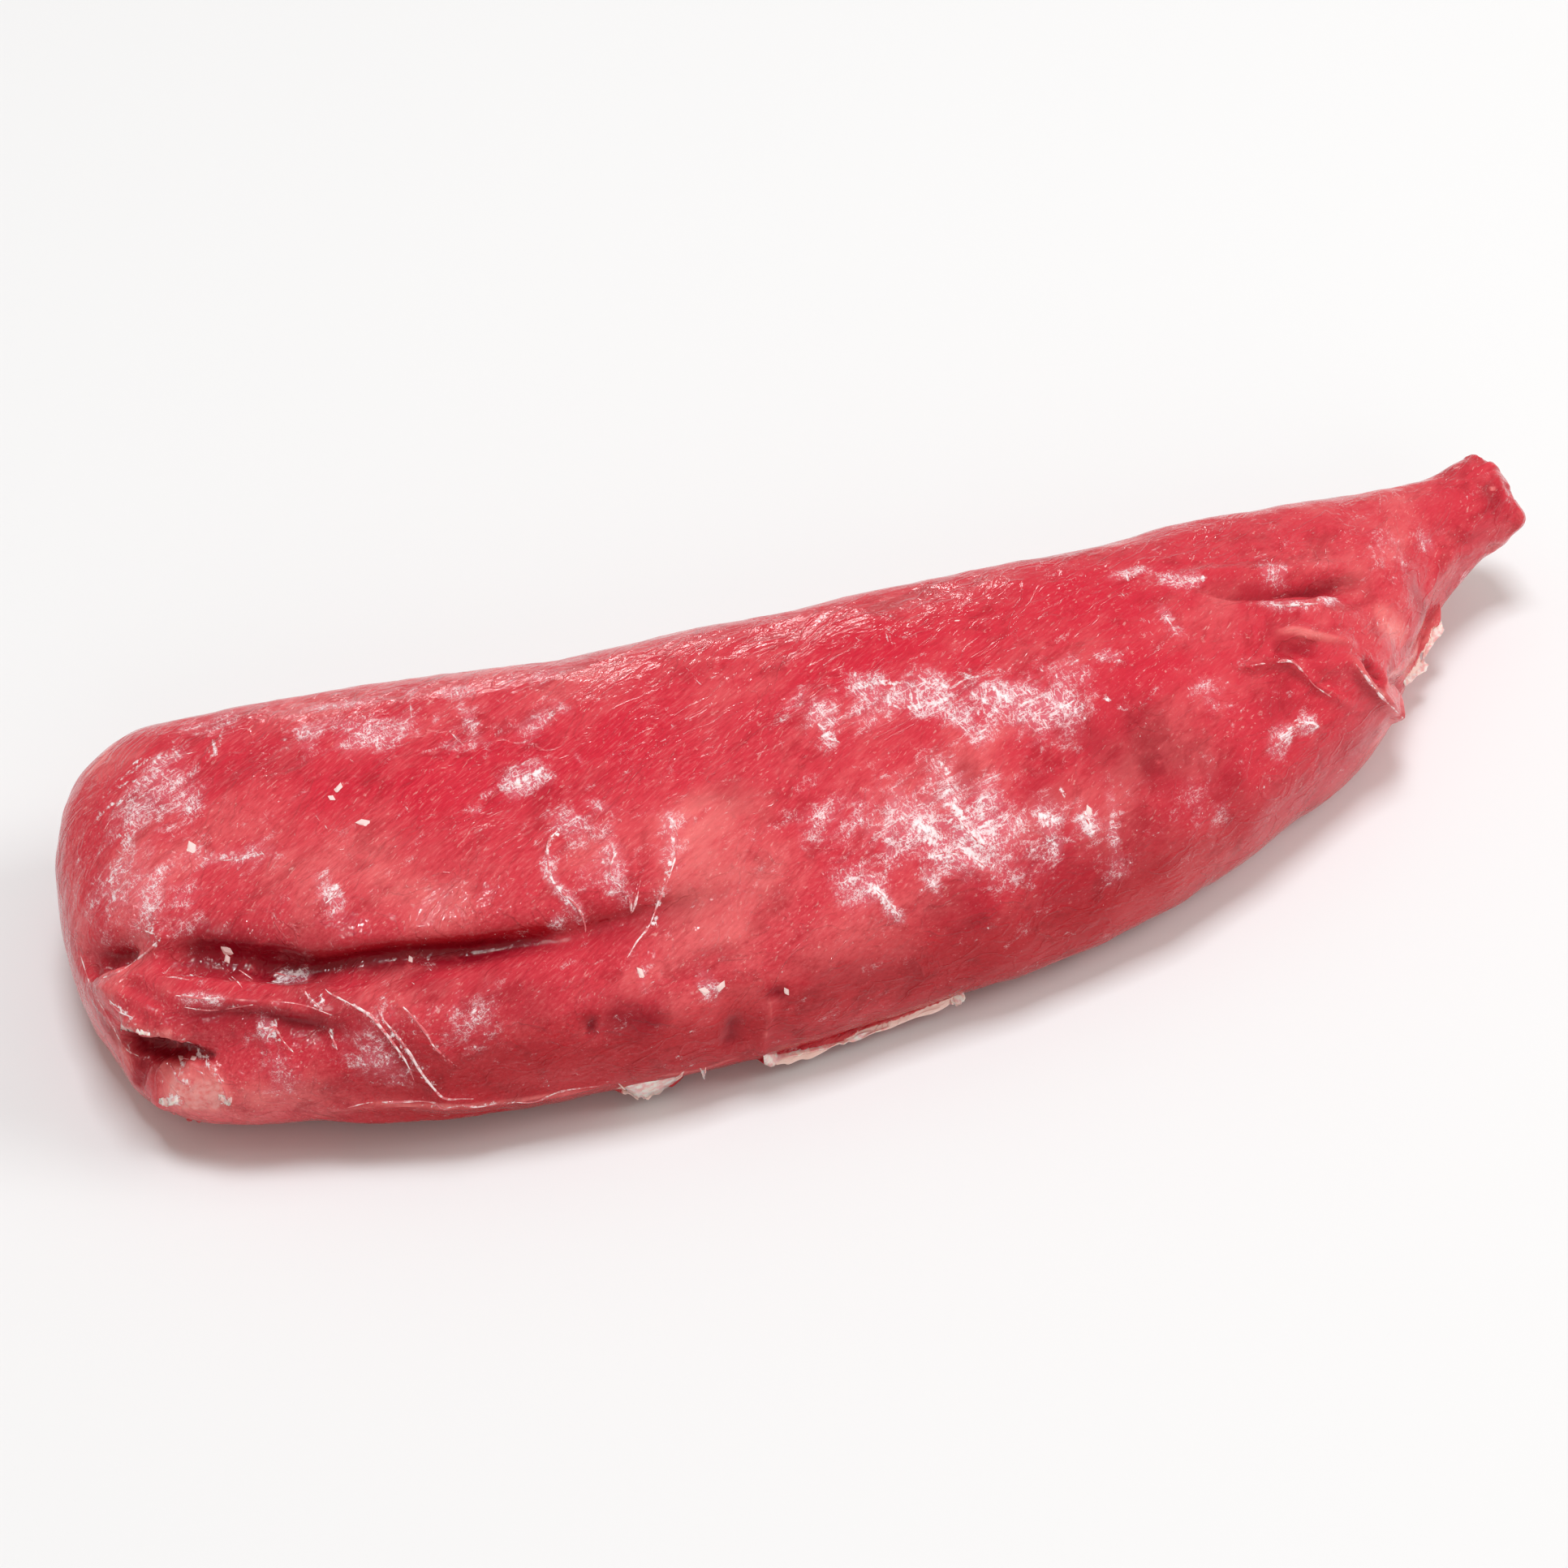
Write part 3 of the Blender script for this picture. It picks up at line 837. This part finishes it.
finish_of(meat, IOR=1.36, Specular_IOR_Level=0.1, Coat_Weight=0.5, Coat_IOR=1.4, Coat_Roughness=0.05)
finish_of(meat, Subsurface_Weight=0.10, Subsurface_Radius=(1.0, 0.22, 0.16), Subsurface_Scale=0.004)
wear(flesh, meat)
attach(flesh, "root")
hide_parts("loin")

# Film: the clear film is drawn tight over the loin, and stands up in thin glassy ridges where it is
# gathered. Each ridge is a tapered bead of film that follows the flesh and is half sunk in its glaze.
RIDGES = {  # line in the photograph, and the bead's radius in mm
    "shoulder arc": (((150, 985), (172, 958), (205, 936), (243, 926)), 0.32),
    "shoulder arc low": (((120, 1040), (138, 1008), (168, 985)), 0.3),
    "shoulder thread": (((176, 905), (215, 903), (262, 890)), 0.28),
    "shoulder ring": (((232, 1047), (252, 1057), (280, 1060), (305, 1054), (328, 1046)), 0.26),
    "end band": (((108, 1212), (132, 1251), (153, 1290), (174, 1303)), 0.36),
    "wall line": (((90, 1150), (104, 1192), (118, 1240)), 0.3),
    "knot arm": (((338, 1264), (350, 1284), (362, 1297)), 0.4),
    "lobe thread": (((222, 1303), (236, 1306), (248, 1313)), 0.36),
    "lobe thread low": (((228, 1313), (240, 1317), (252, 1324)), 0.32),
    "tongue line": (((226, 1241), (262, 1245), (312, 1238)), 0.3),
    "tongue line right": (((330, 1233), (372, 1238), (412, 1252)), 0.3),
    "haze thread": (((401, 1113), (410, 1105), (419, 1093)), 0.34),
    "curved bar": (((1176, 1000), (1188, 1018), (1204, 1036), (1221, 1048)), 0.34),
    "pillar": (((1170, 970), (1173, 984), (1175, 998)), 0.32),
    "low hatch": (((1134, 1064), (1150, 1054), (1180, 1050), (1206, 1062), (1218, 1073)), 0.3),
    "low line": (((1142, 1072), (1147, 1086), (1156, 1100)), 0.32),
    "bottom line": (((1074, 1092), (1090, 1106), (1104, 1124), (1116, 1138)), 0.34),
    "side glint": (((1333, 997), (1340, 1012), (1349, 1030)), 0.42),
    "tail hook": (((1428, 742), (1440, 765), (1456, 786)), 0.3),
    "first crease": (((394, 1205), (404, 1222), (430, 1236), (453, 1249), (465, 1261), (484, 1285),
                      (501, 1310), (510, 1331)), 0.55),
    "second crease": (((470, 1236), (471, 1254), (489, 1276), (504, 1297), (516, 1317), (530, 1336),
                       (547, 1353), (570, 1354), (586, 1354)), 0.5),
    "third crease": (((479, 1220), (494, 1237), (511, 1256), (525, 1273), (535, 1290), (559, 1311),
                      (571, 1317)), 0.45),
    "twig": (((496, 1196), (502, 1206), (511, 1213)), 0.35),
    "hook": (((370, 1210), (381, 1230), (398, 1244)), 0.4),
    "short crease": (((405, 1271), (411, 1283), (416, 1295)), 0.45),
    "shoulder crease": (((199, 1132), (177, 1145), (197, 1154), (190, 1164), (181, 1173),
                         (147, 1197), (113, 1209)), 0.55),
    "curl": (((210, 1191), (201, 1203), (214, 1204), (232, 1207), (251, 1206)), 0.4),
    "groove thread": (((340, 1199), (362, 1203), (392, 1200)), 0.5),
    "tongue thread": (((212, 1226), (244, 1230), (277, 1231)), 0.4),
    "crumb thread": (((281, 1187), (296, 1196), (312, 1207)), 0.3),
    "lower crumb thread": (((281, 1199), (295, 1212), (299, 1219)), 0.3),
    "end crease": (((132, 1233), (148, 1247), (164, 1254)), 0.4),
    "lobe crease": (((240, 1293), (255, 1303), (268, 1323), (281, 1356)), 0.45),
    "lobe inner crease": (((210, 1310), (220, 1330), (233, 1338), (239, 1348)), 0.45),
    "knot": (((314, 1269), (327, 1267), (340, 1266), (333, 1273), (329, 1280)), 0.5),
    "left loop": (((718, 998), (695, 1017), (677, 1035), (675, 1061), (679, 1083), (695, 1102),
                   (710, 1117), (718, 1131), (721, 1150), (706, 1144)), 0.5),
    "middle loop": (((755, 1010), (760, 1045), (752, 1075), (775, 1105), (778, 1125), (785, 1105),
                     (790, 1070), (780, 1040)), 0.45),
    "right loop": (((830, 1010), (835, 1040), (825, 1080), (812, 1110), (800, 1140), (785, 1160),
                    (773, 1180)), 0.45),
    "tail lip": (((1540, 742), (1580, 746), (1615, 744), (1640, 740)), 0.55),
    "tail glint": (((1445, 712), (1468, 716), (1489, 712)), 0.5),
    "tail fold": (((1665, 811), (1680, 830), (1700, 856), (1732, 888)), 0.6),
    "tail crease": (((1540, 820), (1566, 817), (1590, 815), (1608, 830), (1620, 845), (1650, 865)), 0.5),
    "tail knot": (((1570, 925), (1581, 904), (1604, 892), (1628, 896)), 0.5),
    "low edge": (((390, 1371), (416, 1368), (453, 1359), (487, 1358), (516, 1357), (535, 1359),
                  (547, 1367), (569, 1362), (591, 1364), (622, 1359), (659, 1357), (695, 1344),
                  (758, 1336)), 0.5),
}


BEAD = 0.78  # a bead's own radius, as a share of the named one
BEAD_LEAST = 0.12  # share of it that is left at the ends
SUNK = 0.45  # how deep the bead's middle lies in the glaze, in its radii


def smooth_line(pixels, step=5.0):
    """Pixels a few apart on a curve through the named ones."""
    pixels = np.array(pixels, float)
    around = np.concatenate([[2 * pixels[0] - pixels[1]], pixels, [2 * pixels[-1] - pixels[-2]]])
    line = []
    for a, b, c, d in zip(around[:-3], around[1:-2], around[2:-1], around[3:]):
        square = 2 * a - 5 * b + 4 * c - d
        cube = 3 * b - a - 3 * c + d
        for t in np.arange(0, 1, step / max(np.linalg.norm(c - b), step)):
            line.append(0.5 * (2 * b + (c - a) * t + square * t**2 + cube * t**3))
    line.append(pixels[-1])
    return line


def make_ridge(pixels, radius):
    """A tapered, slightly lumpy bead of film along a line in the photograph."""
    bpy.ops.curve.primitive_nurbs_path_add(radius=MM, location=(0, 0, 0))
    path = bpy.context.object
    path.data.splines.clear()
    run = [on_loin(pixel) for pixel in smooth_line(pixels)]
    spline = path.data.splines.new("POLY")
    spline.points.add(len(run) - 1)
    for k, (place, facing) in enumerate(run):
        along = min(1, max(0, (k + 0.4) / (len(run) - 0.2)))
        taper = math.sin(math.pi * along) ** 0.5
        bumpy = 1.15 + noise.noise(place / (4 * MM))
        rise = 0.7 * noise.noise(place / (9 * MM)) - SUNK
        spline.points[k].co = (*(place + facing * rise * radius * MM), 1)
        spline.points[k].radius = max(taper * bumpy, BEAD_LEAST)
    path.data.bevel_depth = radius * BEAD * MM
    path.data.bevel_resolution = 2
    path.data.use_fill_caps = True
    only(path)
    bpy.ops.object.convert(target="MESH")
    return path


def joined(pieces, name):
    """Join pieces into one object of this name."""
    bpy.ops.object.select_all(action="DESELECT")
    for piece in pieces:
        piece.select_set(True)
    bpy.context.view_layer.objects.active = pieces[0]
    bpy.ops.object.join()
    whole = bpy.context.object
    whole.name = name
    return whole


film = joined([make_ridge(*row) for row in RIDGES.values()], "film_ridges")
only(film)
bpy.ops.object.transform_apply(location=True, rotation=True, scale=True)
film.data.shade_smooth()

CAUGHT_RED = (0.72, 0.12, 0.14)
CAUGHT_WHITE = (0.98, 0.80, 0.80)
clear = new_material("clear_film")
tree = clear.node_tree
caught = window(tree, grain(tree, surface_places(tree), 4, 0, 1, 5, 0.65), 0.46, 0.60)
finish_of(clear, Base_Color=blend_node(tree, caught, CAUGHT_RED, CAUGHT_WHITE), Roughness=0.16, IOR=1.5)
finish_of(clear, Coat_Weight=1.0, Coat_Roughness=0.08)
wear(film, clear)
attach(film, "root")
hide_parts("loin")

# Membrane: torn scraps of pale skin and dried film that hang from the lower edge, the shoulder flap and
# the tail. Each is a thin sheet with a ragged edge, rooted in the flesh.
SHEETS = {  # root line and torn edge in the photograph, and how far the edge stands off the flesh in mm
    "flag": (((758, 1334), (800, 1330), (846, 1318)),
             ((768, 1338), (777, 1345), (790, 1351), (815, 1341), (838, 1324)), 1.0),
    "hair": (((862, 1314), (866, 1314), (870, 1313)), ((864, 1319), (866, 1327), (868, 1318)), 1.0),
    "strip": (((940, 1297), (958, 1298), (985, 1292), (1004, 1289), (1040, 1281), (1100, 1262)),
              ((942, 1309), (950, 1312), (960, 1306), (985, 1300), (1004, 1296), (1030, 1289),
               (1090, 1269)), 1.0),
    "upper strip": (((1172, 1230), (1180, 1230), (1188, 1226)),
                    ((1170, 1236), (1180, 1238), (1190, 1229)), 0.6),
    "flap": (((148, 1260), (158, 1258), (170, 1264), (184, 1269)),
             ((151, 1268), (160, 1271), (172, 1274), (186, 1277)), 0.8),
    "lobe bits": (((196, 1350), (207, 1346), (218, 1350)), ((198, 1358), (208, 1364), (222, 1357)), 1.0),
    "lobe end": (((268, 1346), (279, 1343), (286, 1350)), ((272, 1354), (281, 1363), (286, 1357)), 1.0),
    "tail fringe": (((1728, 838), (1744, 824), (1755, 808), (1765, 790), (1774, 770)),
                    ((1730, 845), (1744, 836), (1759, 824), (1756, 808), (1767, 791), (1778, 778),
                     (1776, 764)), 0.5),
}


COLUMNS, ROWS = 24, 4  # a sheet's cells along its root and out to its edge
ROOT_DEPTH = 0.6 * MM  # how deep its root is sunk in the flesh
SHEET_THICKNESS = 0.35 * MM
WAVE = 0.6  # how far it waves off its own surface, in mm
LEAST_REACH = 0.82  # the shortest of its ragged strips, as a share of the named edge


def make_sheet(root, edge, lift, random):
    """A thin sheet with a ragged, waving edge, between two lines in the photograph."""
    bpy.ops.object.select_all(action="DESELECT")
    bpy.ops.mesh.primitive_grid_add(x_subdivisions=COLUMNS, y_subdivisions=ROWS, size=1.0)
    sheet = bpy.context.object
    inner = np.array(smooth_line(root, 2.0))
    outer = np.array(smooth_line(edge, 2.0))
    reach = random.uniform(LEAST_REACH, 1.0, COLUMNS + 1)
    for vertex in sheet.data.vertices:
        s, t = vertex.co.x + 0.5, vertex.co.y + 0.5
        strip = int(round(s * COLUMNS))
        a = inner[int(s * (len(inner) - 1))]
        b = outer[int(s * (len(outer) - 1))]
        place, facing = on_loin(a + (b - a) * 0.02)
        depth = (on_loin(b)[0] - camera.location).length
        tip = camera.location + sight_line(b) * depth
        wave = noise.noise(Vector((s * 9, t * 3, lift))) * WAVE
        way = (tip - place) * t * reach[strip]
        vertex.co = place - facing * ROOT_DEPTH * (1 - t) + way + facing * (lift * t + wave * t) * MM
    only(sheet)
    thick = sheet.modifiers.new("thickness", "SOLIDIFY")
    thick.thickness = SHEET_THICKNESS
    thick.offset = 0.0
    bpy.ops.object.modifier_apply(modifier=thick.name)
    return sheet


random = np.random.default_rng(5)
membrane = joined([make_sheet(*row, random) for row in SHEETS.values()], "membrane")
membrane.data.shade_smooth()

SKIN_PINK = (0.95, 0.46, 0.44)
SKIN_CREAM = (1.0, 0.82, 0.76)
skin_pale = new_material("membrane")
tree = skin_pale.node_tree
thin = window(tree, grain(tree, surface_places(tree), 2.2, 0, 1, 4), 0.38, 0.62)
finish_of(skin_pale, Base_Color=blend_node(tree, thin, SKIN_PINK, SKIN_CREAM), Roughness=0.45)
finish_of(skin_pale, Subsurface_Weight=0.3, Subsurface_Scale=0.003, Coat_Weight=0.4, Coat_Roughness=0.2)
wear(membrane, skin_pale)
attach(membrane, "root")
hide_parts("loin")

# Frost crumbs: small chips of ice and torn membrane, 2 to 5 mm long. They froze onto the flesh where
# they fell, mostly beside the groove and on the broad top. Each is one flat-sided flake.
CRUMBS = {  # place in the photograph, and radius in mm before it is drawn out
    "left field": (415, 972, 1.6),
    "left field near": (409, 982, 1.2),
    "left field right": (449, 1015, 1.8),
    "shoulder ring": (234, 1046, 1.8),
    "groove lip": (278, 1172, 2.0),
    "groove lip low": (279, 1183, 1.2),
    "belly line": (789, 1201, 1.6),
    "flank": (886, 1216, 1.6),
    "flank left": (868, 1223, 1.4),
    "groove far": (505, 1183, 0.9),
    "side glint": (1341, 1000, 1.4),
    "glint": (640, 968, 1.2),
    "lobe": (223, 1305, 1.4),
    "lobe right": (240, 1303, 1.2),
    "back": (1180, 765, 0.8),
    "front stripe": (968, 1223, 1.2),
}
FLATNESS = 0.22
LONG, SHORT = 1.3, 0.8  # how much it is drawn out lengthwise and drawn in across
bpy.ops.object.select_all(action="DESELECT")
bpy.ops.mesh.primitive_ico_sphere_add(subdivisions=1, radius=MM, location=(0, 0, 0))
chip = bpy.context.object
for vertex in chip.data.vertices:
    vertex.co *= 0.8 + 0.8 * noise.noise(vertex.co * 1300)
    vertex.co.z *= FLATNESS
crumbs = []
for x, y, size in CRUMBS.values():
    crumb = chip.copy()
    crumb.data = chip.data.copy()
    bpy.context.scene.collection.objects.link(crumb)
    place, facing = on_loin((x, y))
    turn = facing.to_track_quat("Z", "Y").to_matrix() @ Matrix.Rotation(x + y, 3, "Z")
    drawn = Vector((LONG, SHORT + 0.3 * math.sin(x), 1)) * size * 1.2
    for vertex in crumb.data.vertices:
        vertex.co = place + turn @ (vertex.co * drawn)
    crumbs.append(crumb)
bpy.data.objects.remove(chip)
chips = joined(crumbs, "frost_crumbs")
chips.data.shade_flat()

rime = new_material("frost_crumb")
finish_of(rime, Base_Color=(0.92, 0.66, 0.63), Roughness=0.35)
wear(chips, rime)
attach(chips, "root")
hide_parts("loin")

# Floor: the seamless sheet of studio paper that the loin was laid on for its picture. It is matt and
# almost white, and runs on past the picture on every side.
bpy.ops.object.select_all(action="DESELECT")
bpy.ops.mesh.primitive_plane_add(size=8.0, location=(0, 0, 0))
floor = bpy.context.object
floor.name = "floor"
paper = new_material("studio_floor")
finish_of(paper, Base_Color=(0.80, 0.80, 0.80), Roughness=1.0, Specular_IOR_Level=0.1)
wear(floor, paper)

# Studio light: an even, slightly warm room, one big softbox over the loin and two soft fills, in front
# and at the right. Four narrow strips light nothing, and only show as glints on the film.
ROOM = (1.0, 0.925, 0.85)
WHITE = (1.0, 1.0, 1.0)
COOL = (0.955, 1.0, 1.05)
LIGHTS = {  # azimuth, elevation, distance, width and height in metres, watts, glints only, colour
    "overhead_softbox": (190, 84, 4.0, (1.5, 1.3), 89, False, COOL),
    "front_fill": (-10, 24, 4.0, (2.4, 1.6), 17, False, WHITE),
    "right_fill": (74, 36, 4.0, (2.0, 1.6), 60, False, WHITE),
    "glare_behind": (168, 17, 3.0, (0.8, 0.16), 9, True, WHITE),
    "glare_left": (-105, 46, 3.0, (0.5, 0.22), 12, True, WHITE),
    "glare_front": (-60, 74, 3.0, (0.40, 0.10), 14, True, WHITE),
    "glare_side": (-42, 58, 3.0, (0.40, 0.10), 14, True, WHITE),
}
world = bpy.data.worlds.new("studio")
world.use_nodes = True
room = world.node_tree.nodes["Background"]
feed(world.node_tree, ROOM, room.inputs["Color"])
feed(world.node_tree, 0.45, room.inputs["Strength"])
bpy.context.scene.world = world
bpy.context.scene.view_settings.view_transform = "Standard"


def soft_light(name, azimuth, elevation, distance, size, power, glare, colour):
    """A rectangular softbox that faces the loin from this direction."""
    a, e = math.radians(azimuth), math.radians(elevation)
    place = Vector((math.sin(a) * math.cos(e), -math.cos(a) * math.cos(e), math.sin(e))) * distance
    lamp = bpy.data.lights.new(name, "AREA")
    lamp.shape = "RECTANGLE"
    lamp.size, lamp.size_y = size
    lamp.energy = power
    lamp.color = colour
    holder = bpy.data.objects.new(name, lamp)
    holder.location = place
    holder.rotation_euler = (-place).to_track_quat("-Z", "Y").to_euler()
    holder.visible_diffuse = not glare
    holder.visible_glossy = glare
    bpy.context.scene.collection.objects.link(holder)


for name, row in LIGHTS.items():
    soft_light(name, *row)
